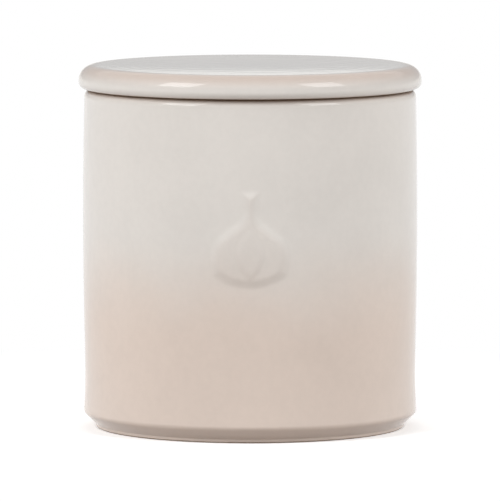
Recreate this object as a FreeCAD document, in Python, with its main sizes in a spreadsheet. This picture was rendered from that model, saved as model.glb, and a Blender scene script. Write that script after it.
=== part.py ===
import FreeCAD, Part
import math
import os
import Sketcher

# Garlic keeper: a glazed stoneware crock with a flat lid that lifts off by its overhanging edge.
# Frame: millimetres, +Z up, origin in the middle of the foot ring's resting face.
# The raised garlic figure faces -Y and the air holes face +Y.

SIZES = {
    # The crock's outside, which is nearly straight, with a slight belly and a faint waist.
    "crock_diameter": 108.1,
    "rim_height": 109.5,
    "belly_bulge": 0.45,
    "belly_start": 28.0,
    "neck_margin": 4.0,
    "rim_round": 2.9,
    "rim_inner_round": 1.0,
    # The foot: a ring to stand on, then an undercut that rises to the wall.
    "foot_height": 1.2,
    "foot_inset": 4.0,
    "foot_ring_width": 4.5,
    "undercut_height": 3.6,
    "heel_inset": 0.2,
    "heel_round": 2.2,
    "recess_depth": 2.0,
    # The crock's inside.
    "wall": 5.0,
    "floor_thickness": 6.0,
    "floor_round": 8.0,
    # The row of air holes high in the back wall.
    "vent_count": 3,
    "vent_diameter": 8.0,
    "vent_spacing": 20.0,
    "vent_drop": 27.0,
    # The raised garlic figure on the front: a wide bulb whose shoulders slope up to a short stem.
    "figure_base": 50.1,
    "figure_root_width": 22.6,
    "figure_root_rise": 3.9,
    "figure_width": 24.6,
    "figure_widest": 9.7,
    "figure_shoulder_round": 8.5,
    "figure_slope": 36.9,
    "figure_neck_round": 4.8,
    "figure_neck_width": 4.2,
    "figure_tip_width": 5.4,
    "figure_height": 29.9,
    "figure_relief": 0.8,
    "clove_rise": 2.0,
    "clove_width": 9.0,
    "clove_height": 16.5,
    "clove_relief": 1.15,
    "figure_margin": 1.5,
    # The lid: a plate that overhangs the rim, with a locating ring under it.
    "lid_overhang": 1.4,
    "lid_thickness": 7.5,
    "lid_dish": 0.6,
    "lid_dish_inset": 6.0,
    "lid_edge_round": 4.8,
    "lid_under_round": 2.4,
    "lid_hollow": 2.3,
    "ring_clearance": 0.7,
    "ring_width": 4.0,
    "ring_depth": 6.0,
    "ring_round": 1.2,
}

doc = FreeCAD.newDocument("garlic_keeper")
sheet = doc.addObject("Spreadsheet::Sheet", "sizes")
for row, (alias, size) in enumerate(SIZES.items(), start=1):
    sheet.set(f"A{row}", str(size))
    sheet.setAlias(f"A{row}", alias)
doc.recompute()

# Sizes that follow from the driving ones, as expressions on the sheet.
CROCK_RADIUS = "sizes.crock_diameter / 2"
NECK_RADIUS = f"({CROCK_RADIUS} - sizes.belly_bulge)"
NECK_HEIGHT = "(sizes.rim_height - sizes.neck_margin)"
BELLY_HALF_HEIGHT = f"(({NECK_HEIGHT} - sizes.belly_start) / 2)"
BELLY_SWEEP = f"(({BELLY_HALF_HEIGHT} ^ 2 + sizes.belly_bulge ^ 2) / (2 * sizes.belly_bulge))"
HEEL_RADIUS = f"({CROCK_RADIUS} - sizes.heel_inset)"
HEEL_HEIGHT = "(sizes.foot_height + sizes.undercut_height)"
FOOT_RADIUS = f"({CROCK_RADIUS} - sizes.foot_inset)"
FOOT_INNER_RADIUS = f"({FOOT_RADIUS} - sizes.foot_ring_width)"
INNER_RADIUS = f"({CROCK_RADIUS} - sizes.wall)"
RIM_WALL = f"({NECK_RADIUS} - {INNER_RADIUS})"
FLOOR_HEIGHT = "(sizes.recess_depth + sizes.floor_thickness)"
LID_RADIUS = f"({CROCK_RADIUS} + sizes.lid_overhang)"
LID_TOP = "(sizes.rim_height + sizes.lid_thickness)"
LID_DISH_RADIUS = f"({LID_RADIUS} - sizes.lid_dish_inset)"
LID_DISH_SWEEP = f"(({LID_DISH_RADIUS} ^ 2 + sizes.lid_dish ^ 2) / (2 * sizes.lid_dish))"
RING_RADIUS = f"({INNER_RADIUS} - sizes.ring_clearance)"
RING_INNER_RADIUS = f"({RING_RADIUS} - sizes.ring_width)"
RING_BOTTOM = "(sizes.rim_height - sizes.ring_depth)"
LID_CEILING = "(sizes.rim_height + sizes.lid_hollow)"

# How closely an edge has to lie where it is looked for.
PLACE_ERROR = 0.01
UPWARD = FreeCAD.Vector(0, 0, 1)


def measure(expression):
    """The number that an expression on the sheet gives now."""
    return float(sheet.evalExpression(expression))


def origin_feature(body, role):
    """One of the body's own origin planes or axes."""
    return next(feature for feature in body.Origin.OriginFeatures if feature.Role == role)


def add_sketch(body, name, role):
    """An empty sketch on one of the body's origin planes."""
    sketch = body.newObject("Sketcher::SketchObject", name)
    sketch.AttachmentSupport = [(origin_feature(body, role), "")]
    sketch.MapMode = "FlatFace"
    return sketch


def bound(sketch, *constraint, to):
    """Adds a constraint whose value is an expression on the sheet."""
    index = sketch.addConstraint(Sketcher.Constraint(*constraint, measure(to)))
    sketch.setExpression(f"Constraints[{index}]", to)


def place_point(sketch, edge, end, point):
    """Holds one end of an edge at a point given by two expressions."""
    bound(sketch, "DistanceX", -1, 1, edge, end, to=point[0])
    bound(sketch, "DistanceY", -1, 1, edge, end, to=point[1])


def arc_centre(start, end, radius, side):
    """Centre of the short arc between two points; side is 1 for a centre on the left of the way."""
    across = end - start
    middle = (start + end) * 0.5
    rise = math.sqrt(max(radius ** 2 - across.Length ** 2 / 4, 0.0))
    return middle + FreeCAD.Vector(-across.y, across.x, 0).normalize() * (rise * side)


def draw_outline(sketch, start, steps):
    """Draws a closed outline. A step is an end point, and for an arc also its radius and centre's side."""
    corners = [start] + [step[0] for step in steps]
    points = [FreeCAD.Vector(measure(across), measure(up), 0) for across, up in corners]
    edges = []
    for index, step in enumerate(steps):
        begin, end = points[index], points[index + 1]
        ends = (1, 2)
        if len(step) == 1:
            edge = sketch.addGeometry(Part.LineSegment(begin, end))
        else:
            radius, side = step[1], step[2]
            centre = arc_centre(begin, end, measure(radius), side)
            circle = Part.Circle(centre, FreeCAD.Vector(0, 0, 1), measure(radius))
            if side < 0:
                ends = (2, 1)
                begin, end = end, begin
            arc = Part.ArcOfCircle(circle, circle.parameter(begin), circle.parameter(end))
            edge = sketch.addGeometry(arc)
            bound(sketch, "Radius", edge, to=radius)
        place_point(sketch, edge, ends[0], corners[index])
        edges.append((edge, *ends))
    for before, after in zip(edges, edges[1:] + edges[:1]):
        sketch.addConstraint(Sketcher.Constraint("Coincident", before[0], before[2], after[0], after[1]))


def revolve(body, name, sketch, kind="PartDesign::Revolution"):
    """Turns a sketch once round the body's Z axis, to add or with a groove to cut."""
    feature = body.newObject(kind, name)
    feature.Profile = sketch
    feature.ReferenceAxis = (origin_feature(body, "Z_Axis"), [""])
    feature.Angle = 360
    doc.recompute()
    return feature


def ring_edges(shape, rings):
    """Names of the circular edges about Z at the given pairs of radius and height expressions."""
    wanted = [(measure(radius), measure(height)) for radius, height in rings]
    names = []
    for number, edge in enumerate(shape.Edges, start=1):
        if edge.Degenerated or not isinstance(edge.Curve, Part.Circle):
            continue
        if edge.Curve.Axis.cross(UPWARD).Length < PLACE_ERROR:
            found = (edge.Curve.Radius, edge.Curve.Center.z)
            if any(math.dist(found, ring) < PLACE_ERROR for ring in wanted):
                names.append(f"Edge{number}")
    return names


def round_rings(body, name, radius, rings):
    """Rounds the circular edges at the given radii and heights by a radius given as an expression."""
    base = body.Tip
    fillet = body.newObject("PartDesign::Fillet", name)
    fillet.Base = (base, ring_edges(base.Shape, rings))
    fillet.setExpression("Radius", radius)
    doc.recompute()
    return fillet


def add_crock():
    body = doc.addObject("PartDesign::Body", "crock")
    body.Label = "crock"
    add_crock_wall(body)
    add_figure(body)
    add_vents(body)
    return body


def add_crock_wall(body):
    """The pot turned in one piece: recess, foot ring, undercut, waist, belly, rim and inside."""
    sketch = add_sketch(body, "crock_profile", "XZ_Plane")
    waist_sweep = waist_radius()
    draw_outline(sketch, ("0", "sizes.recess_depth"), [
        ((FOOT_INNER_RADIUS, "sizes.recess_depth"),),
        ((FOOT_INNER_RADIUS, "0"),),
        ((FOOT_RADIUS, "0"),),
        ((FOOT_RADIUS, "sizes.foot_height"),),
        ((HEEL_RADIUS, HEEL_HEIGHT),),
        ((NECK_RADIUS, "sizes.belly_start"), waist_sweep, -1),
        ((NECK_RADIUS, NECK_HEIGHT), BELLY_SWEEP, 1),
        ((NECK_RADIUS, "sizes.rim_height"),),
        ((INNER_RADIUS, "sizes.rim_height"),),
        ((INNER_RADIUS, FLOOR_HEIGHT),),
        (("0", FLOOR_HEIGHT),),
        (("0", "sizes.recess_depth"),),
    ])
    revolve(body, "crock_wall", sketch)
    rim_round = f"min(sizes.rim_round; {RIM_WALL} - 1.2 * sizes.rim_inner_round)"
    round_rings(body, "rim_edge", rim_round, [(NECK_RADIUS, "sizes.rim_height")])
    round_rings(body, "rim_inner_edge", "sizes.rim_inner_round", [(INNER_RADIUS, "sizes.rim_height")])
    round_rings(body, "heel_edge", "sizes.heel_round", [(HEEL_RADIUS, HEEL_HEIGHT)])
    round_rings(body, "floor_corner", "sizes.floor_round", [(INNER_RADIUS, FLOOR_HEIGHT)])


def waist_radius():
    """Radius of the hollow arc that leaves the belly's arc smoothly and ends at the heel."""
    drop = f"(sizes.belly_start - {HEEL_HEIGHT})"
    swell = "(sizes.belly_bulge - sizes.heel_inset)"
    along_normal = f"({swell} * ({BELLY_SWEEP} - sizes.belly_bulge) + {drop} * {BELLY_HALF_HEIGHT})"
    return f"(({drop} ^ 2 + {swell} ^ 2) * {BELLY_SWEEP} / (2 * {along_normal}))"


def add_figure(body):
    """A plain garlic bulb in low relief: half of it, its mirror and a centre clove that stands prouder."""
    sketch = add_sketch(body, "bulb_profile", "XZ_Plane")
    hold_in_wall(sketch)
    draw_bulb(sketch)
    bulb = pad_outward(body, "bulb_half", sketch)
    mirrored = body.newObject("PartDesign::Mirrored", "bulb")
    mirrored.Originals = [bulb]
    mirrored.MirrorPlane = (origin_feature(body, "YZ_Plane"), [""])
    body.Tip = mirrored
    doc.recompute()
    trim_relief(body, "bulb_trim", "sizes.figure_relief")
    sketch = add_sketch(body, "clove_profile", "XZ_Plane")
    hold_in_wall(sketch)
    clove_side = "(sizes.clove_width / 2)"
    clove_sweep = f"((sizes.clove_height ^ 2 / 4 + {clove_side} ^ 2) / (2 * {clove_side}))"
    clove_base = "(sizes.figure_base + sizes.clove_rise)"
    draw_outline(sketch, ("0", clove_base), [
        (("0", f"{clove_base} + sizes.clove_height"), clove_sweep, 1),
        (("0", clove_base), clove_sweep, 1),
    ])
    pad_outward(body, "clove", sketch)
    trim_relief(body, "clove_trim", "sizes.clove_relief")


def draw_bulb(sketch):
    """The bulb's right half: flat root, full side, round shoulder, slope, hollow neck and short stem."""
    half_width = "(sizes.figure_width / 2)"
    root_half = "(sizes.figure_root_width / 2)"
    neck_half = "(sizes.figure_neck_width / 2)"
    base = "sizes.figure_base"
    shoulder, neck = "sizes.figure_shoulder_round", "sizes.figure_neck_round"
    lean = "(sizes.figure_slope * 1 deg)"
    root = f"(({root_half} ^ 2 + sizes.figure_root_rise ^ 2) / (2 * sizes.figure_root_rise))"
    swell = f"({half_width} - {root_half})"
    side_rise = "(sizes.figure_widest - sizes.figure_root_rise)"
    side = f"(({swell} ^ 2 + {side_rise} ^ 2) / (2 * {swell}))"
    slope_start = f"({half_width} - {shoulder} * (1 - sin({lean})))"
    slope_low = f"({base} + sizes.figure_widest + {shoulder} * cos({lean}))"
    slope_end = f"({neck_half} + {neck} * (1 - sin({lean})))"
    slope_high = f"({slope_low} + ({slope_start} - {slope_end}) * tan({lean}))"
    draw_outline(sketch, ("0", base), [
        ((root_half, f"{base} + sizes.figure_root_rise"), root, 1),
        ((half_width, f"{base} + sizes.figure_widest"), side, 1),
        ((slope_start, slope_low), shoulder, 1),
        ((slope_end, slope_high),),
        ((neck_half, f"{slope_high} + {neck} * cos({lean})"), neck, -1),
        (("sizes.figure_tip_width / 2", f"{base} + sizes.figure_height"),),
        (("0", f"{base} + sizes.figure_height"),),
        (("0", base),),
    ])


def hold_in_wall(sketch):
    """Sets a sketch plane half way into the front wall."""
    sketch.setExpression(".AttachmentOffset.Base.z", f"{CROCK_RADIUS} - sizes.wall / 2")


def pad_outward(body, name, sketch):
    """Raises a sketch from inside the wall to well past the relief."""
    pad = body.newObject("PartDesign::Pad", name)
    pad.Profile = sketch
    pad.setExpression("Length", "sizes.wall / 2 + 2 * sizes.clove_relief")
    doc.recompute()
    return pad


def trim_relief(body, name, relief):
    """Cuts back what stands further out than the relief, so that the figure follows the round wall."""
    inside = f"({CROCK_RADIUS} + {relief})"
    outside = f"({CROCK_RADIUS} + 4 * sizes.clove_relief)"
    below = "(sizes.figure_base - sizes.figure_margin)"
    above = "(sizes.figure_base + sizes.figure_height + sizes.figure_margin)"
    sketch = add_sketch(body, f"{name}_profile", "XZ_Plane")
    draw_outline(sketch, (inside, below), [
        ((outside, below),),
        ((outside, above),),
        ((inside, above),),
        ((inside, below),),
    ])
    revolve(body, name, sketch, kind="PartDesign::Groove")


def add_vents(body):
    """The air holes: round, level, evenly spread about the middle of the back."""
    row_turn = "(sizes.vent_spacing * (sizes.vent_count - 1))"
    vent_height = "(sizes.rim_height - sizes.vent_drop)"
    sketch = add_sketch(body, "vent_profile", "XZ_Plane")
    turned = FreeCAD.Rotation(FreeCAD.Vector(0, 1, 0), 1)
    sketch.AttachmentOffset = FreeCAD.Placement(FreeCAD.Vector(), turned)
    sketch.setExpression(".AttachmentOffset.Rotation.Angle", f"-{row_turn} / 2")
    centre = FreeCAD.Vector(0, measure(vent_height), 0)
    circle = Part.Circle(centre, FreeCAD.Vector(0, 0, 1), measure("sizes.vent_diameter / 2"))
    hole = sketch.addGeometry(circle)
    sketch.addConstraint(Sketcher.Constraint("PointOnObject", hole, 3, -2))
    bound(sketch, "DistanceY", -1, 1, hole, 3, to=vent_height)
    bound(sketch, "Diameter", hole, to="sizes.vent_diameter")
    vent = body.newObject("PartDesign::Pocket", "vent")
    vent.Profile = sketch
    vent.Type = "ThroughAll"
    doc.recompute()
    row_of_vents = body.newObject("PartDesign::PolarPattern", "vents")
    row_of_vents.Originals = [vent]
    row_of_vents.Axis = (origin_feature(body, "Z_Axis"), [""])
    row_of_vents.setExpression("Occurrences", "sizes.vent_count")
    row_of_vents.setExpression("Angle", row_turn)
    body.Tip = row_of_vents
    doc.recompute()


def add_lid():
    """The lid turned in one piece: plate, dished top, hollow underside and locating ring."""
    body = doc.addObject("PartDesign::Body", "lid")
    body.Label = "lid"
    sketch = add_sketch(body, "lid_profile", "XZ_Plane")
    draw_outline(sketch, ("0", LID_CEILING), [
        ((RING_INNER_RADIUS, LID_CEILING),),
        ((RING_INNER_RADIUS, RING_BOTTOM),),
        ((RING_RADIUS, RING_BOTTOM),),
        ((RING_RADIUS, "sizes.rim_height"),),
        ((LID_RADIUS, "sizes.rim_height"),),
        ((LID_RADIUS, LID_TOP),),
        ((LID_DISH_RADIUS, LID_TOP),),
        (("0", f"{LID_TOP} - sizes.lid_dish"), LID_DISH_SWEEP, -1),
        (("0", LID_CEILING),),
    ])
    revolve(body, "lid_plate", sketch)
    round_rings(body, "lid_edge", "sizes.lid_edge_round", [(LID_RADIUS, LID_TOP)])
    round_rings(body, "lid_under_edge", "sizes.lid_under_round", [(LID_RADIUS, "sizes.rim_height")])
    ring_corners = [(RING_INNER_RADIUS, RING_BOTTOM), (RING_RADIUS, RING_BOTTOM)]
    round_rings(body, "ring_edge", "sizes.ring_round", ring_corners)
    return body


def check_document():
    """Stops if any object of the document failed."""
    for item in doc.Objects:
        if {"Invalid", "Error"} & set(item.State):
            raise RuntimeError(f"{item.Name} failed: {item.State}")


def check_shape(body):
    """Stops if a sub-part's shape is empty, broken or in several pieces."""
    if body.Shape.isNull() or not body.Shape.isValid() or len(body.Shape.Solids) != 1:
        raise RuntimeError(f"{body.Label} has no single valid solid")


parts = [add_crock(), add_lid()]
doc.recompute()
check_document()
for part in parts:
    check_shape(part)
os.makedirs("parts", exist_ok=True)
for part in parts:
    part.Shape.exportStep(f"parts/{part.Label}.step")
    print(part.Label, round(part.Shape.Volume / 1000, 2), "cm3", part.Shape.BoundBox)
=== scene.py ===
import bpy
import math
from collections import namedtuple
import numpy as np
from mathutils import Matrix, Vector


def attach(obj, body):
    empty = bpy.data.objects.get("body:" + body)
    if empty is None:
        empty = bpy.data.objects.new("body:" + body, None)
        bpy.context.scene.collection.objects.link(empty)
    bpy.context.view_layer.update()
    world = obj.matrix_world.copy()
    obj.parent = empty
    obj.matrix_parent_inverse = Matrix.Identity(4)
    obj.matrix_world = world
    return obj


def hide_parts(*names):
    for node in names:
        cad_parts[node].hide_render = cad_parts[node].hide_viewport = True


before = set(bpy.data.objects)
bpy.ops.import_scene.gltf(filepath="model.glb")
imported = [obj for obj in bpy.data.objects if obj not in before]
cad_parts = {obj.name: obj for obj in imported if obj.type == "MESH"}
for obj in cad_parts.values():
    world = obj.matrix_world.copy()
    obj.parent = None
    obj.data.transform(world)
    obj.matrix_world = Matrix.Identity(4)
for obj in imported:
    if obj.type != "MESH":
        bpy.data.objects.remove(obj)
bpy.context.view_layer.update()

# Garlic keeper in glazed stoneware: a crock with a raised garlic figure and a flat lid.
# Shapes are worked out in millimetres and written to the meshes in metres.
MM = 0.001

# The crock, as in the construction model.
CROCK_RADIUS = 54.05
RIM_HEIGHT = 109.5
BELLY_BULGE = 0.45
BELLY_START = 28.0
NECK_MARGIN = 4.0
NECK_RADIUS = CROCK_RADIUS - BELLY_BULGE
NECK_HEIGHT = RIM_HEIGHT - NECK_MARGIN
RIM_ROUND = 2.9
RIM_INNER_ROUND = 1.0
FOOT_HEIGHT = 1.2
FOOT_INSET = 4.0
FOOT_RING_WIDTH = 4.5
FOOT_RADIUS = CROCK_RADIUS - FOOT_INSET
FOOT_INNER_RADIUS = FOOT_RADIUS - FOOT_RING_WIDTH
FOOT_EDGE_ROUND = 0.7
FOOT_TOP_ROUND = 0.5
HEEL_INSET = 0.2
HEEL_RADIUS = CROCK_RADIUS - HEEL_INSET
UNDERCUT_HEIGHT = 3.6
HEEL_HEIGHT = FOOT_HEIGHT + UNDERCUT_HEIGHT
HEEL_ROUND = 2.2
RECESS_DEPTH = 2.0
RECESS_ROUND = 1.2
WALL = 5.0
INNER_RADIUS = CROCK_RADIUS - WALL
MIDDLE_RADIUS = CROCK_RADIUS - WALL / 2
FLOOR_THICKNESS = 6.0
FLOOR_HEIGHT = RECESS_DEPTH + FLOOR_THICKNESS
FLOOR_ROUND = 8.0

# Between these heights the outside follows the curve of the wall.
CURVE_MARGIN = 1.0
CURVE_BOTTOM = HEEL_HEIGHT + CURVE_MARGIN
CURVE_TOP = NECK_HEIGHT + CURVE_MARGIN

# The air holes in the back wall, at angles in degrees. Each has a patch of the mesh to itself. Rings of
# points at RING_SHARES of the way lead from the patch's border to the soft lip, and LIP_STEPS rings over it.
VENT_ANGLES = (70.0, 90.0, 110.0)
VENT_RADIUS = 4.0
VENT_DROP = 27.0
VENT_HEIGHT = RIM_HEIGHT - VENT_DROP
VENT_LIP = 0.9
PATCH_HALF = 6.5
PATCH_SLACK = 0.2
PATCH_HALF_TURN = math.degrees(PATCH_HALF / CROCK_RADIUS) + PATCH_SLACK
RING_SHARES = (0.3, 0.6, 0.85, 1.0)
LIP_STEPS = 5

# The raised garlic figure on the front. A spread is the share of a soft slope outside the outline.
FIGURE_BASE = 50.1
FIGURE_ROOT_HALF = 11.3
FIGURE_ROOT_RISE = 3.9
FIGURE_HALF_WIDTH = 12.3
FIGURE_WIDEST = 9.7
FIGURE_SHOULDER_ROUND = 8.5
FIGURE_SLOPE_ANGLE = 36.9
FIGURE_NECK_ROUND = 4.8
FIGURE_NECK_HALF = 2.1
FIGURE_TIP_HALF = 2.7
FIGURE_HEIGHT = 29.9
FIGURE_RELIEF = 0.84
FIGURE_SOFTNESS = 4.2
FIGURE_ROOT_RELIEF = 0.7
FIGURE_ROOT_SOFTNESS = 3.6
CLOVE_RISE = 2.0
CLOVE_HALF_WIDTH = 4.5
CLOVE_HEIGHT = 16.5
CLOVE_RELIEF = 0.3
CLOVE_SOFTNESS = 2.4
FIGURE_SPREAD = 0.25
CLOVE_SPREAD = 0.2
FIGURE_MARGIN = 4.0
FIGURE_HALF_TURN = 18.0

# From here up the rows of the wall's mesh are close together.
FINE_ROWS_MARGIN = 5.0
FINE_ROWS_START = FIGURE_BASE - FINE_ROWS_MARGIN

# The lid, and the faint turning marks in its top.
LID_OVERHANG = 1.35
LID_RADIUS = CROCK_RADIUS + LID_OVERHANG
LID_THICKNESS = 7.5
LID_TOP = RIM_HEIGHT + LID_THICKNESS
LID_DISH = 0.6
LID_DISH_INSET = 6.0
LID_DISH_RADIUS = LID_RADIUS - LID_DISH_INSET
LID_HOLLOW = 2.3
LID_CEILING = RIM_HEIGHT + LID_HOLLOW
LID_UNDER_ROUND = 2.2
LID_EDGE_ROUND = 5.0
LID_HOLLOW_ROUND = 1.5
RING_CLEARANCE = 0.7
RING_WIDTH = 4.0
RING_DEPTH = 6.0
RING_ROUND = 1.3
RING_ROOT_ROUND = 0.8
RING_RADIUS = INNER_RADIUS - RING_CLEARANCE
RING_INNER_RADIUS = RING_RADIUS - RING_WIDTH
RING_BOTTOM = RIM_HEIGHT - RING_DEPTH
LID_COLUMNS = 288
MARK_HEIGHT = 0.012
MARK_SPACING = 4.3
MARKS_FADE_IN = (12.0, 40.0)
MARKS_FADE_OUT = (45.0, 49.0)

# Columns of the crock's mesh: where the fine zones lie and how far apart the columns are, in degrees.
FRONT = -90.0
BACK = 90.0
FIGURE_ZONE = 17.0
VENT_ZONE = 34.0
FIGURE_STEP = 0.45
VENT_STEP = 1.0
PLAIN_STEP = 2.6

# Heights closer than this count as the same, and no division is by less than this.
CLOSE = 0.01
TINY = 1e-9

# A rounded corner has about one row for each of these steps, in degrees.
ARC_STEP = 9.0

# The photograph's view: image size in pixels, where the camera stands in millimetres and its pitch in
# degrees. The far clip is in metres.
IMAGE_LONG_SIDE = 501
PIXELS_PER_MM = 3.093
CAMERA_DISTANCE = 2300.0
CAMERA_HEIGHT = 270.5
CAMERA_SIDE = -0.05
CAMERA_PITCH = 5.308
SENSOR = 36.0
FAR_CLIP = 20.0


def smooth(values, low, high):
    """0 below low, 1 above high and an even S between."""
    share = np.clip((np.asarray(values, dtype=float) - low) / (high - low), 0.0, 1.0)
    return share * share * (3.0 - 2.0 * share)


def arc_points(centre, radius, start, end, count):
    """Points on an arc from one angle to another, in degrees."""
    angles = np.radians(np.linspace(start, end, count))
    return np.column_stack((centre[0] + radius * np.cos(angles), centre[1] + radius * np.sin(angles)))


def rounded_rows(start, corners):
    """Rows (radius, height) from a start along straight runs with rounded corners.

    A corner is (radius, height, rounding, spacing). The spacing is that of the rows on the run up to it.
    """
    points = [np.array(start)] + [np.array(corner[:2]) for corner in corners]
    rows = points[:1]
    for index, (_, _, rounding, spacing) in enumerate(corners, start=1):
        corner = points[index]
        turn = [corner]
        if rounding > 0:
            turn = corner_arc(corner, points[index - 1] - corner, points[index + 1] - corner, rounding)
        last = rows[-1]
        run = turn[0] - last
        count = max(1, round(float(np.hypot(*run)) / spacing))
        rows.extend(last + run * (step / count) for step in range(1, count))
        rows.extend(turn)
    return np.array(rows)


def corner_arc(corner, before, after, rounding):
    """Points of the arc that rounds a corner between two runs."""
    before = before / np.hypot(*before)
    after = after / np.hypot(*after)
    half = math.acos(float(np.clip(before @ after, -1.0, 1.0))) / 2
    middle = before + after
    centre = corner + middle / np.hypot(*middle) * (rounding / math.sin(half))
    start = corner + before * (rounding / math.tan(half)) - centre
    end = corner + after * (rounding / math.tan(half)) - centre
    first = math.degrees(math.atan2(start[1], start[0]))
    sweep = (math.degrees(math.atan2(end[1], end[0])) - first + 180.0) % 360.0 - 180.0
    return list(arc_points(centre, rounding, first, first + sweep, 2 + round(abs(sweep) / ARC_STEP)))


def wall_radius(height):
    """Outside radius of the crock's wall: a hollow waist that runs smoothly into a slight belly."""
    half = (NECK_HEIGHT - BELLY_START) / 2
    sweep = (half ** 2 + BELLY_BULGE ** 2) / (2 * BELLY_BULGE)
    rise = np.clip(height, BELLY_START, NECK_HEIGHT) - (BELLY_START + half)
    belly = CROCK_RADIUS - sweep + np.sqrt(sweep ** 2 - rise ** 2)
    drop = np.clip(BELLY_START - np.asarray(height), 0.0, BELLY_START - HEEL_HEIGHT)
    slope = half / sweep
    full_drop = BELLY_START - HEEL_HEIGHT
    hollow = (HEEL_RADIUS - NECK_RADIUS + slope * full_drop) / full_drop ** 2
    return belly - slope * drop + hollow * drop ** 2


def crock_rows():
    """Rows of the crock from the middle of its recess, out over the foot, up the wall and down inside."""
    rows = rounded_rows((0.0, RECESS_DEPTH), [
        (FOOT_INNER_RADIUS, RECESS_DEPTH, RECESS_ROUND, 5.0),
        (FOOT_INNER_RADIUS, 0.0, FOOT_EDGE_ROUND, 1.0),
        (FOOT_RADIUS, 0.0, FOOT_EDGE_ROUND, 1.5),
        (FOOT_RADIUS, FOOT_HEIGHT, FOOT_TOP_ROUND, 0.5),
        (HEEL_RADIUS, HEEL_HEIGHT, HEEL_ROUND, 0.7),
        (HEEL_RADIUS, FINE_ROWS_START, 0.0, 1.5),
        (NECK_RADIUS, VENT_HEIGHT + PATCH_HALF, 0.0, 0.5),
        (NECK_RADIUS, RIM_HEIGHT, RIM_ROUND, 1.5),
        (INNER_RADIUS, RIM_HEIGHT, RIM_INNER_ROUND, 1.0),
        (INNER_RADIUS, VENT_HEIGHT + PATCH_HALF, 0.0, 2.0),
        (INNER_RADIUS, VENT_HEIGHT - PATCH_HALF, 0.0, 0.5),
        (INNER_RADIUS, FLOOR_HEIGHT, FLOOR_ROUND, 3.0),
        (0.0, FLOOR_HEIGHT, 0.0, 5.0),
    ])
    radius, height = rows.T
    outside = (radius > MIDDLE_RADIUS) & (height > CURVE_BOTTOM) & (height < CURVE_TOP)
    rows[outside, 0] = wall_radius(rows[outside, 1])
    return rows


def column_angles():
    """Angles of the columns round the crock in degrees: fine across the figure, close over the air holes."""
    zones = [
        (FRONT - FIGURE_ZONE, FRONT + FIGURE_ZONE, FIGURE_STEP),
        (FRONT + FIGURE_ZONE, BACK - VENT_ZONE, PLAIN_STEP),
        (BACK - VENT_ZONE, BACK + VENT_ZONE, VENT_STEP),
        (BACK + VENT_ZONE, FRONT - FIGURE_ZONE + 360.0, PLAIN_STEP),
    ]
    angles = []
    for low, high, spacing in zones:
        count = round((high - low) / spacing)
        angles.extend(low + (high - low) * step / count for step in range(count))
    return np.array(angles)


def even_angles(count):
    """Angles of evenly spread columns, in degrees."""
    return np.arange(count) * 360.0 / count


def turned_grid(rows, angles):
    """Points of a turned surface as a grid of rows by columns."""
    turn = np.radians(angles)
    radius = rows[:, 0][:, None]
    height = np.broadcast_to(rows[:, 1][:, None], (len(rows), len(angles)))
    return np.stack((radius * np.cos(turn), radius * np.sin(turn), height), axis=2)


def grid_faces(row_count, column_count, holes=()):
    """Quads between rows that close round the turn, but for the holes.

    A hole is a grid range (row low, row high, column low, column high).
    """
    faces = []
    for row in range(row_count - 1):
        for column in range(column_count):
            if any(low <= row < high and left <= column < right for low, high, left, right in holes):
                continue
            beside = (column + 1) % column_count
            below = row * column_count
            above = below + column_count
            faces.append((below + column, below + beside, above + beside, above + column))
    return faces


def without_axis(rows):
    """Rows without the first and the last, which lie on the axis, where capped puts one point instead."""
    return rows[1:-1]


def capped(grid, faces):
    """Vertices and faces of a grid whose first and last rows are closed with a point on the axis."""
    row_count, column_count = grid.shape[:2]
    vertices = [tuple(point) for point in grid.reshape(-1, 3)]
    start, end = len(vertices), len(vertices) + 1
    vertices.extend([(0.0, 0.0, float(grid[0, 0, 2])), (0.0, 0.0, float(grid[-1, 0, 2]))])
    last = (row_count - 1) * column_count
    for column in range(column_count):
        beside = (column + 1) % column_count
        faces.append((start, beside, column))
        faces.append((end, last + column, last + beside))
    return vertices, faces


def figure_outline():
    """Right half of the bulb's outline and its mirror, from the root up to the tip."""
    half = FIGURE_HALF_WIDTH
    lean = math.radians(FIGURE_SLOPE_ANGLE)
    root = (FIGURE_ROOT_HALF ** 2 + FIGURE_ROOT_RISE ** 2) / (2 * FIGURE_ROOT_RISE)
    root_end = math.degrees(math.asin(FIGURE_ROOT_HALF / root)) - 90.0
    swell = half - FIGURE_ROOT_HALF
    side_rise = FIGURE_WIDEST - FIGURE_ROOT_RISE
    side = (swell ** 2 + side_rise ** 2) / (2 * swell)
    side_start = -math.degrees(math.asin(side_rise / side))
    slope_start = half - FIGURE_SHOULDER_ROUND * (1 - math.sin(lean))
    slope_end = FIGURE_NECK_HALF + FIGURE_NECK_ROUND * (1 - math.sin(lean))
    slope_low = FIGURE_WIDEST + FIGURE_SHOULDER_ROUND * math.cos(lean)
    neck_height = slope_low + (slope_start - slope_end) * math.tan(lean) + FIGURE_NECK_ROUND * math.cos(lean)
    neck_centre = (FIGURE_NECK_HALF + FIGURE_NECK_ROUND, neck_height)
    turn = 90.0 - FIGURE_SLOPE_ANGLE
    right = np.concatenate((
        arc_points((0.0, root), root, -90.0, root_end, count=12),
        arc_points((half - side, FIGURE_WIDEST), side, side_start, 0.0, count=8),
        arc_points((half - FIGURE_SHOULDER_ROUND, FIGURE_WIDEST), FIGURE_SHOULDER_ROUND, 0.0, turn, count=12),
        arc_points(neck_centre, FIGURE_NECK_ROUND, 180.0 + turn, 180.0, count=8),
        [(FIGURE_TIP_HALF, FIGURE_HEIGHT)],
    ))
    return np.concatenate((right, (right * (-1.0, 1.0))[::-1]))


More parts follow.
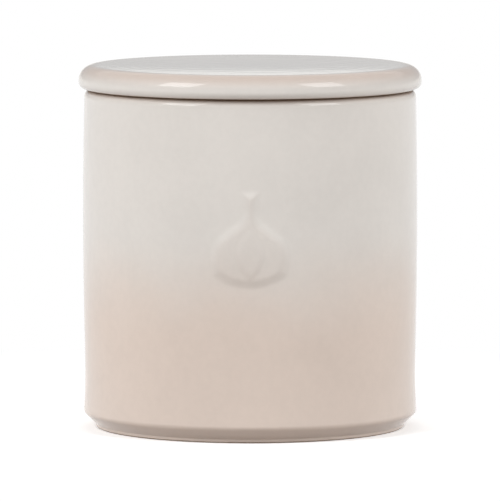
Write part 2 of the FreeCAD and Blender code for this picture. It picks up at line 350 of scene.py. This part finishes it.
def clove_outline():
    """The middle clove: a leaf shape between two arcs."""
    sweep = (CLOVE_HEIGHT ** 2 / 4 + CLOVE_HALF_WIDTH ** 2) / (2 * CLOVE_HALF_WIDTH)
    half_turn = math.degrees(math.asin(CLOVE_HEIGHT / 2 / sweep))
    centre = CLOVE_HALF_WIDTH - sweep
    right = arc_points((centre, CLOVE_HEIGHT / 2), sweep, -half_turn, half_turn, count=20)
    return np.concatenate((right, (right * (-1.0, 1.0))[::-1][1:-1]))


def inside_distance(across, up, outline):
    """Distance from points to a closed outline, positive inside and negative outside."""
    start, end = outline, np.roll(outline, -1, axis=0)
    run = end - start
    to_x = across[..., None] - start[:, 0]
    to_y = up[..., None] - start[:, 1]
    length = np.maximum((run ** 2).sum(axis=1), TINY)
    share = np.clip((to_x * run[:, 0] + to_y * run[:, 1]) / length, 0.0, 1.0)
    gap = np.sqrt((to_x - share * run[:, 0]) ** 2 + (to_y - share * run[:, 1]) ** 2).min(axis=-1)
    spans = (start[:, 1] > up[..., None]) != (end[:, 1] > up[..., None])
    rise = np.where(np.abs(run[:, 1]) < TINY, TINY, run[:, 1])
    crossings = spans & (to_x < to_y * run[:, 0] / rise)
    return np.where(crossings.sum(axis=-1) % 2 == 1, gap, -gap)


def figure_height(across, up):
    """How far the raised figure stands out of the wall, in millimetres.

    Thick glaze softens its slopes, less so at the root, where the figure is lower.
    """
    up = up - FIGURE_BASE
    upper = smooth(up, 0.5 * FIGURE_ROOT_RISE, FIGURE_WIDEST + 0.5 * FIGURE_SHOULDER_ROUND)
    height = FIGURE_ROOT_RELIEF + (FIGURE_RELIEF - FIGURE_ROOT_RELIEF) * upper
    softness = FIGURE_ROOT_SOFTNESS + (FIGURE_SOFTNESS - FIGURE_ROOT_SOFTNESS) * upper
    edge = inside_distance(across, up, figure_outline())
    relief = height * smooth(edge / softness, -FIGURE_SPREAD, 1.0 - FIGURE_SPREAD)
    clove = inside_distance(across, up - CLOVE_RISE, clove_outline())
    low, high = -CLOVE_SPREAD * CLOVE_SOFTNESS, (1.0 - CLOVE_SPREAD) * CLOVE_SOFTNESS
    return relief + CLOVE_RELIEF * smooth(clove, low, high)


def raise_figure(grid, rows):
    """Lifts the front wall's points where the figure is, and gives how far each point was lifted."""
    low = FIGURE_BASE - FIGURE_MARGIN
    high = FIGURE_BASE + FIGURE_HEIGHT + FIGURE_MARGIN
    up = (rows[:, 1] > low) & (rows[:, 1] < high) & (rows[:, 0] > MIDDLE_RADIUS)
    wall = grid[up]
    front = wall[..., 1] < -CROCK_RADIUS * math.cos(math.radians(FIGURE_HALF_TURN))
    relief = np.zeros(front.shape)
    relief[front] = figure_height(wall[..., 0][front], wall[..., 2][front])
    outward = wall[..., :2] / np.linalg.norm(wall[..., :2], axis=-1, keepdims=True)
    wall[..., :2] += outward * relief[..., None]
    grid[up] = wall
    lifted = np.zeros(grid.shape[:2])
    lifted[up] = relief
    return lifted


def vent_patches(rows, angles):
    """The grid range of every air hole's patch, outside then inside, as grid_faces takes holes."""
    near = np.abs(rows[:, 1] - VENT_HEIGHT) < PATCH_HALF + CLOSE
    outside = rows[:, 0] > MIDDLE_RADIUS
    patches = []
    for angle in VENT_ANGLES:
        columns = np.flatnonzero(np.abs(angles - angle) < PATCH_HALF_TURN)
        for side in (outside, ~outside):
            lines = np.flatnonzero(near & side)
            patches.append((lines[0], lines[-1], columns[0], columns[-1]))
    return patches


def patch_border(patch, column_count, upward):
    """Indices of the grid points round a patch, anticlockwise seen from outside."""
    low, high, left, right = patch
    bottom, top = (low, high) if upward else (high, low)
    step = 1 if upward else -1
    border = [bottom * column_count + column for column in range(left, right)]
    border += [row * column_count + right for row in range(bottom, top, step)]
    border += [top * column_count + column for column in range(right, left, -1)]
    border += [row * column_count + left for row in range(top, bottom, -step)]
    return border


def vent_rings(points, angle, inside):
    """Rings of points from a patch's border over the soft lip of the hole and into it."""
    outward = np.array((math.cos(math.radians(angle)), math.sin(math.radians(angle)), 0.0))
    sideways = np.array((-outward[1], outward[0], 0.0))
    across = points @ sideways
    up = points[:, 2] - VENT_HEIGHT
    turn = np.arctan2(up, across)
    surface = INNER_RADIUS if inside else float(wall_radius(VENT_HEIGHT))
    into_wall = 1.0 if inside else -1.0
    sizes = [(share, VENT_RADIUS + VENT_LIP, 0.0) for share in RING_SHARES]
    for step in range(1, LIP_STEPS + 1):
        lean = math.radians(90.0 * step / LIP_STEPS)
        radius = VENT_RADIUS + VENT_LIP * (1.0 - math.sin(lean))
        sizes.append((1.0, radius, VENT_LIP * (1.0 - math.cos(lean))))
    rings = []
    for share, radius, depth in sizes:
        ring_across = across + (radius * np.cos(turn) - across) * share
        ring_up = up + (radius * np.sin(turn) - up) * share
        along = np.sqrt(surface ** 2 - ring_across ** 2) + into_wall * depth
        ring = along[:, None] * outward + ring_across[:, None] * sideways
        ring[:, 2] = VENT_HEIGHT + ring_up
        rings.append(ring)
    return rings


def add_vents(vertices, faces, patches, column_count):
    """Fills each pair of patches, outside and inside, with a hole that runs through the wall."""
    for number, angle in enumerate(VENT_ANGLES):
        loops = []
        for inside in (False, True):
            border = patch_border(patches[2 * number + inside], column_count, upward=not inside)
            points = np.array([vertices[index] for index in border])
            chain = [border]
            for ring in vent_rings(points, angle, inside):
                chain.append(list(range(len(vertices), len(vertices) + len(ring))))
                vertices.extend(tuple(point) for point in ring)
            loops.append(chain)
        chain = loops[0] + loops[1][::-1]
        for outer, inner in zip(chain, chain[1:]):
            for index in range(len(outer)):
                after = (index + 1) % len(outer)
                faces.append((outer[index], outer[after], inner[after], inner[index]))


def make_piece(name, vertices, faces, material, masks):
    """A smooth mesh object in metres, with one number per vertex under each mask's name."""
    mesh = bpy.data.meshes.new(name)
    mesh.from_pydata((np.array(vertices) * MM).tolist(), [], faces)
    mesh.validate()
    mesh.update()
    mesh.polygons.foreach_set("use_smooth", [True] * len(mesh.polygons))
    for mask, values in masks.items():
        layer = mesh.attributes.new(mask, "FLOAT", "POINT")
        padded = np.zeros(len(mesh.vertices))
        padded[:len(values)] = values
        layer.data.foreach_set("value", padded)
    mesh.materials.append(material)
    piece = bpy.data.objects.new(name, mesh)
    bpy.context.collection.objects.link(piece)
    return piece


def make_crock(material):
    """The crock: a turned wall with the figure raised on its front and the air holes let into its back."""
    rows = without_axis(crock_rows())
    angles = column_angles()
    grid = turned_grid(rows, angles)
    relief = raise_figure(grid, rows)
    patches = vent_patches(rows, angles)
    faces = grid_faces(len(rows), len(angles), patches)
    vertices, faces = capped(grid, faces)
    add_vents(vertices, faces, patches, len(angles))
    return make_piece("crock_body", vertices, faces, material, {"relief": relief.ravel()})


def lid_rows():
    """Rows of the lid from the middle of its hollow, down over its ring and round its edge to the top."""
    return rounded_rows((0.0, LID_CEILING), [
        (RING_INNER_RADIUS, LID_CEILING, LID_HOLLOW_ROUND, 5.0),
        (RING_INNER_RADIUS, RING_BOTTOM, RING_ROUND, 1.5),
        (RING_RADIUS, RING_BOTTOM, RING_ROUND, 1.0),
        (RING_RADIUS, RIM_HEIGHT, RING_ROOT_ROUND, 1.5),
        (LID_RADIUS, RIM_HEIGHT, LID_UNDER_ROUND, 1.0),
        (LID_RADIUS, LID_TOP, LID_EDGE_ROUND, 0.4),
        (LID_DISH_RADIUS, LID_TOP, 0.0, 0.5),
        (0.0, LID_TOP, 0.0, 1.2),
    ])


def make_lid(material):
    """The lid: a turned plate whose top is dished and has faint turning marks."""
    rows = without_axis(lid_rows())
    grid = turned_grid(rows, even_angles(LID_COLUMNS))
    radius = rows[:, 0]
    top = rows[:, 1] > LID_TOP - CLOSE
    share = np.clip(radius / LID_DISH_RADIUS, 0.0, 1.0)
    marks = MARK_HEIGHT * np.sin(radius * 2 * math.pi / MARK_SPACING)
    marks *= smooth(radius, *MARKS_FADE_IN)
    marks *= 1.0 - smooth(radius, *MARKS_FADE_OUT)
    dish = np.where(top, marks - LID_DISH * (1.0 - share ** 2), 0.0)
    grid[..., 2] += dish[:, None]
    vertices, faces = capped(grid, grid_faces(*grid.shape[:2]))
    return make_piece("lid_plate", vertices, faces, material, {})


def linear(red, green, blue):
    """A colour given as it looks on screen, 0 to 255, as the renderer's linear red, green, blue and alpha."""
    shares = (channel / 255.0 for channel in (red, green, blue))
    return (*(s / 12.92 if s <= 0.04045 else ((s + 0.055) / 1.055) ** 2.4 for s in shares), 1.0)


# Colours of the finish, as they look in plain light.
CREAM = linear(225, 221, 216)
BLUSH = linear(224, 209, 198)
WARM_EDGE = linear(194, 175, 163)
# The bare clay tones, which on the seats between lid and rim also paint the shade in the gap.
BARE_CLAY = linear(172, 150, 131)
DARK_CLAY = linear(154, 132, 113)
FLOOR_WHITE = linear(252, 252, 252)
FLOOR_GREY = linear(184, 177, 172)
SURROUND_GREY = linear(189, 189, 190)
SURROUND_WHITE = linear(242, 241, 238)

# Noises of the finish, with scales per metre, and the range of their values that a fade takes.
DRIFT = {"scale": 26.0, "detail": 3.0}
CLOUD = {"scale": 45.0, "detail": 4.0, "roughness": 0.6}
WAVE = {"scale": 120.0, "detail": 1.5}
UNEVEN = {"scale": 300.0}
FINE = {"scale": 420.0, "detail": 3.0, "roughness": 0.6}
GRAIN = {"scale": 1900.0}
CLOUD_RANGE = (0.3, 0.7)
FINE_RANGE = (0.35, 0.65)
GRAIN_RANGE = (0.35, 0.7)

# How far the noises shade the glaze, and how glossy glaze and clay are.
CLOUD_SHADE = 0.016
FINE_SHADE = 0.008
GLAZE_ROUGHNESS = (0.035, 0.065)
GLAZE_IOR = 1.5
CLAY_ROUGHNESS = 0.85

# How far the blush drifts up and down, and how high the noises stand as relief, in millimetres.
BLUSH_DRIFT = 18.0
WAVE_RELIEF = 0.06
FINE_RELIEF = 0.004
GRAIN_RELIEF = 0.08

# The heights between which blush turns to cream. The lid is cream all over.
CROCK_FADE = (32.0, 68.0)
LID_FADE = (0.0, 1.0)

# Where glaze is thin, in millimetres, and the share of the warm tone there. Drops are from the rim's or
# the lid's top, insets are from the lid's edge, and on the figure it is by how far the wall stands out.
RIM_THIN_DROP = 3.0
RIM_WARMTH = 0.5
HEEL_THIN = (1.0, 5.2)
HEEL_THIN_SOFT = 1.0
HEEL_WARMTH = 0.25
FIGURE_THIN = (0.1, 0.9)
FIGURE_WARMTH = 0.12
LID_THIN_INSETS = (7.0, 3.0)
LID_THIN_DROPS = (5.0, 0.5)
LID_WARMTH = 0.8

# Where the clay is bare, in millimetres: the foot ring's face with its uneven edge, the seat on the rim,
# as drops from its top, and the seat under the lid. The seats' darker clay is also painted shade in the gap
# between lid and rim.
FOOT_BARE_UNEVEN = 0.3
FOOT_BARE_TOP = (0.4, 0.6)
FOOT_BARE_INNER = (44.0, 45.5)
BARE_SEAT_SHADE_DROPS = (0.9, 0.3)
LID_BARE_SEAT_SHADE_RISE = 0.4
LID_BARE_SEAT_SHADE_SOFT = 0.2

# The studio in metres: its floor, the wall round it and where their tones change.
FLOOR_SIZE = 12.0
FLOOR_FADE = (0.07, 0.24)
SURROUND_RADIUS = 3.4
SURROUND_HEIGHT = 1.6
SURROUND_COLUMNS = 48
SURROUND_FADE = (0.19, 0.33)

# How bright the studio is.
FLOOR_LIFT = 0.26
SKY_LIGHT = 0.34
LEFT_POWER = 5.6
RIGHT_POWER = 4.7
LEFT_FILL = 8.4
RIGHT_FILL = 6.8
BACK_FILL = 7.5
SIDE_POWER = 3.0

# The lamps: the turn from the camera's side and the lift in degrees, distances and sizes in metres.
LEFT_TURN = -54.0
RIGHT_TURN = 56.0
BACK_TURN = 180.0
SIDE_TURN = 92.0
SOFTBOX_LIFT = 38.0
FILL_LIFT = 34.0
BACK_LIFT = 30.0
SIDE_LIFT = 14.0
LAMP_DISTANCE = 1.5
SIDE_DISTANCE = 1.6
SOFTBOX_SIZE = (0.60, 0.72)
FILL_SIZE = (0.70, 1.12)
BACK_SIZE = (1.2, 1.0)
SIDE_SIZE = (0.9, 1.2)

# What a shader knows of a point: its place, its height and its distance from the axis, in metres.
Spot = namedtuple("Spot", "place height radius")


class Nodes:
    """Short ways to add and join shader nodes in one material."""

    def __init__(self, name):
        self.material = bpy.data.materials.new(name)
        self.material.use_nodes = True
        self.tree = self.material.node_tree
        self.tree.nodes.clear()

    def add(self, kind, settings=None, **inputs):
        """A node with its settings and inputs. An input given as another node's socket is linked to it."""
        node = self.tree.nodes.new(kind)
        for key, value in (settings or {}).items():
            setattr(node, key, value)
        for key, value in inputs.items():
            socket = node.inputs[int(key[1:])] if key[0] == "_" else node.inputs[key.replace("_", " ")]
            if isinstance(value, bpy.types.NodeSocket):
                self.tree.links.new(value, socket)
            else:
                socket.default_value = value
        return node

    def math(self, operation, *values):
        """The result of a math node."""
        inputs = {f"_{index}": value for index, value in enumerate(values)}
        return self.add("ShaderNodeMath", {"operation": operation}, **inputs).outputs[0]

    def noise(self, place, scale, detail=2.0, roughness=0.5):
        """Noise from 0 to 1 at a scale per metre."""
        node = self.add("ShaderNodeTexNoise", Vector=place, Scale=scale, Detail=detail, Roughness=roughness)
        return node.outputs["Fac"]

    def fade(self, value, low, high, to_low=0.0, to_high=1.0):
        """An even S from one value to another as the input goes from low to high."""
        settings = {"interpolation_type": "SMOOTHSTEP"}
        inputs = {"_0": value, "_1": low, "_2": high, "_3": to_low, "_4": to_high}
        return self.add("ShaderNodeMapRange", settings, **inputs).outputs[0]

    def fade_mm(self, value, low, high, to_low=0.0, to_high=1.0):
        """The same fade, between two lengths in millimetres."""
        return self.fade(value, low * MM, high * MM, to_low, to_high)

    def blend(self, share, first, second):
        """First colour where the share is 0, second where it is 1."""
        settings = {"data_type": "RGBA"}
        return self.add("ShaderNodeMix", settings, _0=share, _6=first, _7=second).outputs[2]

    def blend_values(self, share, first, second):
        """First number where the share is 0, second where it is 1."""
        return self.add("ShaderNodeMix", _0=share, _2=first, _3=second).outputs[0]


def find_spot(nodes):
    """The point of the piece that is being shaded."""
    place = nodes.add("ShaderNodeTexCoord").outputs["Object"]
    split = nodes.add("ShaderNodeSeparateXYZ", Vector=place).outputs
    level = nodes.add("ShaderNodeCombineXYZ", X=split["X"], Y=split["Y"]).outputs[0]
    radius = nodes.add("ShaderNodeVectorMath", {"operation": "LENGTH"}, _0=level).outputs["Value"]
    return Spot(place, split["Z"], radius)


def glaze_tone(nodes, spot, fade_heights, thin, cloud, fine):
    """Blush below and cream above, warmer where the glaze is thin, and a little mottled."""
    drift = nodes.noise(spot.place, **DRIFT)
    level = nodes.math("MULTIPLY_ADD", drift, BLUSH_DRIFT * MM, spot.height)
    low, high = (height + BLUSH_DRIFT / 2 for height in fade_heights)
    tone = nodes.blend(nodes.fade_mm(level, low, high), BLUSH, CREAM)
    tone = nodes.blend(thin, tone, WARM_EDGE)
    clouds = nodes.fade(cloud, *CLOUD_RANGE, -CLOUD_SHADE, CLOUD_SHADE)
    specks = nodes.fade(fine, *FINE_RANGE, -FINE_SHADE, FINE_SHADE)
    shade = nodes.math("ADD", nodes.math("ADD", clouds, specks), 1.0)
    return nodes.add("ShaderNodeVectorMath", {"operation": "SCALE"}, _0=tone, _3=shade).outputs[0]


def make_glaze(name, fade_heights, warm, bare_and_shade):
    """Thick glossy glaze whose tone changes between two heights, over stoneware that is unglazed in places.

    warm and the last argument are functions that give the shares of thin glaze and of unglazed stoneware
    at a spot. On the seats between lid and rim the unglazed share is also painted shade.
    """
    nodes = Nodes(name)
    spot = find_spot(nodes)
    cloud = nodes.noise(spot.place, **CLOUD)
    fine = nodes.noise(spot.place, **FINE)
    grain = nodes.noise(spot.place, **GRAIN)
    # Share of unglazed stoneware; on the seats between lid and rim it is also painted shade.
    clay_and_shade = bare_and_shade(nodes, spot)
    glaze = glaze_tone(nodes, spot, fade_heights, warm(nodes, spot), cloud, fine)
    clay_tone = nodes.blend(nodes.fade(grain, *GRAIN_RANGE), BARE_CLAY, DARK_CLAY)
    tone = nodes.blend(clay_and_shade, glaze, clay_tone)
    gloss = nodes.fade(cloud, *CLOUD_RANGE, *GLAZE_ROUGHNESS)
    roughness = nodes.blend_values(clay_and_shade, gloss, CLAY_ROUGHNESS)
    ripple = nodes.math("MULTIPLY", nodes.noise(spot.place, **WAVE), WAVE_RELIEF * MM)
    ripple = nodes.math("MULTIPLY_ADD", fine, FINE_RELIEF * MM, ripple)
    relief = nodes.blend_values(clay_and_shade, ripple, nodes.math("MULTIPLY", grain, GRAIN_RELIEF * MM))
    bump = nodes.add("ShaderNodeBump", Strength=1.0, Distance=1.0, Height=relief)
    surface = nodes.add("ShaderNodeBsdfPrincipled", Base_Color=tone, Roughness=roughness, IOR=GLAZE_IOR,
                        Normal=bump.outputs[0])
    nodes.add("ShaderNodeOutputMaterial", Surface=surface.outputs[0])
    return nodes.material


def band(nodes, value, low, high, soft):
    """1 between two values in millimetres, with soft ends."""
    rise = nodes.fade_mm(value, low - soft, low + soft)
    fall = nodes.fade_mm(value, high - soft, high + soft, 1.0, 0.0)
    return nodes.math("MULTIPLY", rise, fall)


def crock_warm(nodes, spot):
    """Glaze runs thin over the rim, the heel and the raised figure."""
    rim = nodes.fade_mm(spot.height, RIM_HEIGHT - RIM_THIN_DROP, RIM_HEIGHT, 0.0, RIM_WARMTH)
    heel = nodes.math("MULTIPLY", band(nodes, spot.height, *HEEL_THIN, HEEL_THIN_SOFT), HEEL_WARMTH)
    raised = nodes.add("ShaderNodeAttribute", {"attribute_name": "relief"}).outputs["Fac"]
    figure = nodes.math("MULTIPLY", nodes.fade(raised, *FIGURE_THIN), FIGURE_WARMTH)
    return nodes.math("MAXIMUM", nodes.math("MAXIMUM", rim, heel), figure)


def crock_bare_and_seat_shade(nodes, spot):
    """The face of the foot ring and the seat on the rim are unglazed; the seat's dark tone is also painted
    shade in the gap under the lid.
    """
    uneven = nodes.noise(spot.place, **UNEVEN)
    level = nodes.math("MULTIPLY_ADD", uneven, FOOT_BARE_UNEVEN * MM, spot.height)
    low = nodes.fade_mm(level, *FOOT_BARE_TOP, 1.0, 0.0)
    foot = nodes.math("MULTIPLY", low, nodes.fade_mm(spot.radius, *FOOT_BARE_INNER))
    # Unglazed seat on the rim, whose dark tone also paints the shade in the gap under the lid.
    seat = nodes.fade_mm(spot.height, *(RIM_HEIGHT - drop for drop in BARE_SEAT_SHADE_DROPS))
    return nodes.math("MAXIMUM", foot, seat)


def lid_warm(nodes, spot):
    """Glaze runs thin round the lid's upper edge."""
    edge = nodes.fade_mm(spot.radius, *(LID_RADIUS - inset for inset in LID_THIN_INSETS))
    upper = nodes.fade_mm(spot.height, *(LID_TOP - drop for drop in LID_THIN_DROPS))
    return nodes.math("MULTIPLY", edge, nodes.math("MULTIPLY", upper, LID_WARMTH))


def lid_bare_seat_and_shade(nodes, spot):
    """The seat under the lid is unglazed, from the root of the ring out to the edge, and its dark tone is
    also painted shade in the gap over the rim.
    """
    # Unglazed seat under the lid, whose dark tone also paints the shade in the gap over the rim.
    under = nodes.fade_mm(spot.height, RIM_HEIGHT, RIM_HEIGHT + LID_BARE_SEAT_SHADE_RISE, 1.0, 0.0)
    seat = band(nodes, spot.radius, RING_RADIUS + RING_ROOT_ROUND, LID_RADIUS, LID_BARE_SEAT_SHADE_SOFT)
    return nodes.math("MULTIPLY", under, seat)


def add_set_piece(name, vertices, faces, material):
    """A piece of the studio, which is no part of the object."""
    mesh = bpy.data.meshes.new(name)
    mesh.from_pydata(vertices, [], faces)
    mesh.materials.append(material)
    piece = bpy.data.objects.new(name, mesh)
    bpy.context.collection.objects.link(piece)
    return piece


def add_floor(material):
    """A level square at the height of the foot."""
    half = FLOOR_SIZE / 2
    corners = [(-half, -half, 0), (half, -half, 0), (half, half, 0), (-half, half, 0)]
    add_set_piece("floor", corners, [(0, 1, 2, 3)], material)


def add_surround(material):
    """A round grey wall far off, which the camera doesn't see and the glaze mirrors."""
    rows = np.array([(SURROUND_RADIUS, 0.0), (SURROUND_RADIUS, SURROUND_HEIGHT)])
    grid = turned_grid(rows, even_angles(SURROUND_COLUMNS))
    vertices = [tuple(point) for point in grid.reshape(-1, 3)]
    wall = add_set_piece("surround", vertices, grid_faces(*grid.shape[:2]), material)
    wall.visible_camera = False
    wall.visible_diffuse = False


def make_floor_material():
    """A white floor that keeps a shadow near the object and is plain white far off.

    The camera and mirrors see it lifted to white. To all other rays it is grey.
    """
    nodes = Nodes("floor_white")
    path = nodes.add("ShaderNodeLightPath").outputs
    seen = nodes.math("MAXIMUM", path["Is Camera Ray"], path["Is Glossy Ray"])
    seen = nodes.math("MAXIMUM", seen, path["Is Transmission Ray"])
    place = nodes.add("ShaderNodeTexCoord").outputs["Object"]
    away = nodes.add("ShaderNodeVectorMath", {"operation": "LENGTH"}, _0=place).outputs["Value"]
    far = nodes.math("MULTIPLY", nodes.fade(away, *FLOOR_FADE), seen)
    plain = nodes.add("ShaderNodeBsdfDiffuse", Color=nodes.blend(seen, FLOOR_GREY, FLOOR_WHITE))
    lifted = nodes.math("MULTIPLY", seen, FLOOR_LIFT)
    lift = nodes.add("ShaderNodeEmission", Color=(1, 1, 1, 1), Strength=lifted)
    near = nodes.add("ShaderNodeAddShader", _0=plain.outputs[0], _1=lift.outputs[0])
    white = nodes.add("ShaderNodeEmission", Color=(1, 1, 1, 1), Strength=1.0)
    both = nodes.add("ShaderNodeMixShader", _0=far, _1=near.outputs[0], _2=white.outputs[0])
    nodes.add("ShaderNodeOutputMaterial", Surface=both.outputs[0])
    return nodes.material


def make_surround_material():
    """White near the floor and grey above, as the far side of a studio."""
    nodes = Nodes("surround_grey")
    place = nodes.add("ShaderNodeTexCoord").outputs["Object"]
    height = nodes.add("ShaderNodeSeparateXYZ", Vector=place).outputs["Z"]
    tone = nodes.blend(nodes.fade(height, *SURROUND_FADE), SURROUND_WHITE, SURROUND_GREY)
    glow = nodes.add("ShaderNodeEmission", Color=tone, Strength=1.0)
    nodes.add("ShaderNodeOutputMaterial", Surface=glow.outputs[0])
    return nodes.material


def make_world():
    """An even light from all round, bright where the camera and mirrors see it and dim for all other rays."""
    world = bpy.data.worlds.new("studio")
    bpy.context.scene.world = world
    world.use_nodes = True
    tree = world.node_tree
    tree.nodes.clear()
    path = tree.nodes.new("ShaderNodeLightPath")
    strength = tree.nodes.new("ShaderNodeMapRange")
    strength.inputs[3].default_value = SKY_LIGHT
    strength.inputs[4].default_value = 1.0
    seen = path.outputs["Is Camera Ray"]
    for kind in ("Is Glossy Ray", "Is Transmission Ray"):
        either = tree.nodes.new("ShaderNodeMath")
        either.operation = "MAXIMUM"
        tree.links.new(seen, either.inputs[0])
        tree.links.new(path.outputs[kind], either.inputs[1])
        seen = either.outputs[0]
    tree.links.new(seen, strength.inputs[0])
    glow = tree.nodes.new("ShaderNodeBackground")
    tree.links.new(strength.outputs[0], glow.inputs["Strength"])
    output = tree.nodes.new("ShaderNodeOutputWorld")
    tree.links.new(glow.outputs[0], output.inputs[0])


def add_softbox(name, turn, lift, distance, size, power, mirrored=True):
    """A rectangular lamp that faces the object, seen in the glaze where mirrored says so.

    The turn is from the camera's side, positive to the right.
    """
    turn, lift = math.radians(turn), math.radians(lift)
    target = Vector((0.0, 0.0, LID_TOP * MM / 2))
    away = Vector((math.sin(turn) * math.cos(lift), -math.cos(turn) * math.cos(lift), math.sin(lift)))
    lamp = bpy.data.lights.new(name, "AREA")
    lamp.shape = "RECTANGLE"
    lamp.size, lamp.size_y = size
    lamp.energy = power
    softbox = bpy.data.objects.new(name, lamp)
    softbox.location = target + away * distance
    softbox.rotation_euler = away.to_track_quat("Z", "Y").to_euler()
    softbox.visible_camera = False
    softbox.visible_glossy = mirrored
    bpy.context.collection.objects.link(softbox)


def add_camera():
    """The photograph's view: a long lens, a little above the lid."""
    camera = bpy.data.cameras.new("camera")
    camera.sensor_width = SENSOR
    depth = CAMERA_DISTANCE / math.cos(math.radians(CAMERA_PITCH))
    camera.lens = PIXELS_PER_MM * depth / IMAGE_LONG_SIDE * SENSOR
    camera.clip_end = FAR_CLIP
    view = bpy.data.objects.new("camera", camera)
    view.location = (CAMERA_SIDE * MM, -CAMERA_DISTANCE * MM, CAMERA_HEIGHT * MM)
    view.rotation_euler = (math.radians(90.0 - CAMERA_PITCH), 0.0, 0.0)
    bpy.context.collection.objects.link(view)
    bpy.context.scene.camera = view


add_camera()
make_world()
add_floor(make_floor_material())
add_surround(make_surround_material())
add_softbox("softbox_left", LEFT_TURN, SOFTBOX_LIFT, LAMP_DISTANCE, SOFTBOX_SIZE, LEFT_POWER)
add_softbox("softbox_right", RIGHT_TURN, SOFTBOX_LIFT, LAMP_DISTANCE, SOFTBOX_SIZE, RIGHT_POWER)
add_softbox("fill_left", LEFT_TURN, FILL_LIFT, LAMP_DISTANCE, FILL_SIZE, LEFT_FILL, mirrored=False)
add_softbox("fill_right", RIGHT_TURN, FILL_LIFT, LAMP_DISTANCE, FILL_SIZE, RIGHT_FILL, mirrored=False)
add_softbox("fill_back", BACK_TURN, BACK_LIFT, LAMP_DISTANCE, BACK_SIZE, BACK_FILL, mirrored=False)
add_softbox("side_left", -SIDE_TURN, SIDE_LIFT, SIDE_DISTANCE, SIDE_SIZE, SIDE_POWER, mirrored=False)
add_softbox("side_right", SIDE_TURN, SIDE_LIFT, SIDE_DISTANCE, SIDE_SIZE, SIDE_POWER, mirrored=False)

crock_glaze = make_glaze("crock_glaze", CROCK_FADE, crock_warm, crock_bare_and_seat_shade)
lid_glaze = make_glaze("lid_glaze", LID_FADE, lid_warm, lid_bare_seat_and_shade)

crock = make_crock(crock_glaze)
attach(crock, "crock")
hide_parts("crock")

lid = make_lid(lid_glaze)
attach(lid, "lid")
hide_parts("lid")

scene = bpy.context.scene
scene.view_settings.view_transform = "Standard"
